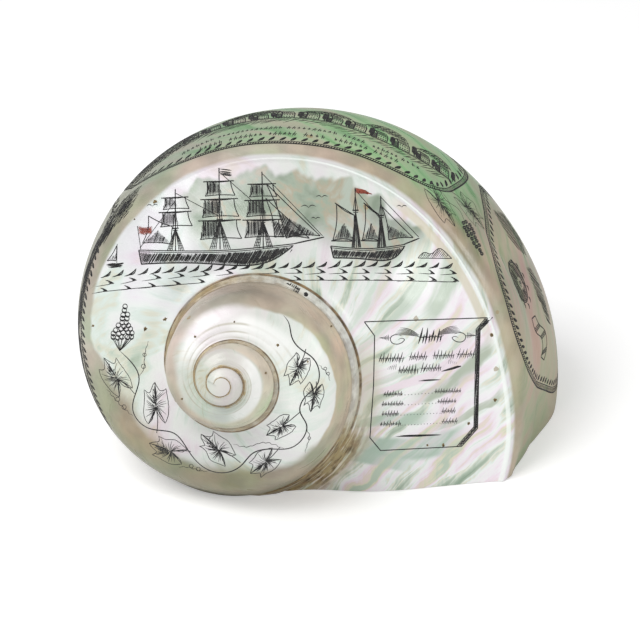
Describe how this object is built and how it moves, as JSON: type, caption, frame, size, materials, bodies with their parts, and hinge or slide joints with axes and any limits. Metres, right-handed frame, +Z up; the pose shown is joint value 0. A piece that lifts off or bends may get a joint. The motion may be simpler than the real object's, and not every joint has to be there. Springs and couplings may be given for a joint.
{
  "type": "engraved turban shell",
  "caption": "Large polished sea snail shell that lies on its mouth, hollow behind it, engraved with fine dark lines as an ornament.",
  "frame": {"origin": "centre of the flat underside that the shell lies on", "axes": "+Z up, the spire towards -Y, the outer lip of the mouth towards +X"},
  "size_m": [0.1788, 0.1622, 0.1188],
  "materials": {
    "mother_of_pearl": "gloss"
  },
  "bodies": {
    "root": {"turban_shell": "mother_of_pearl"}
  },
  "joints": []
}
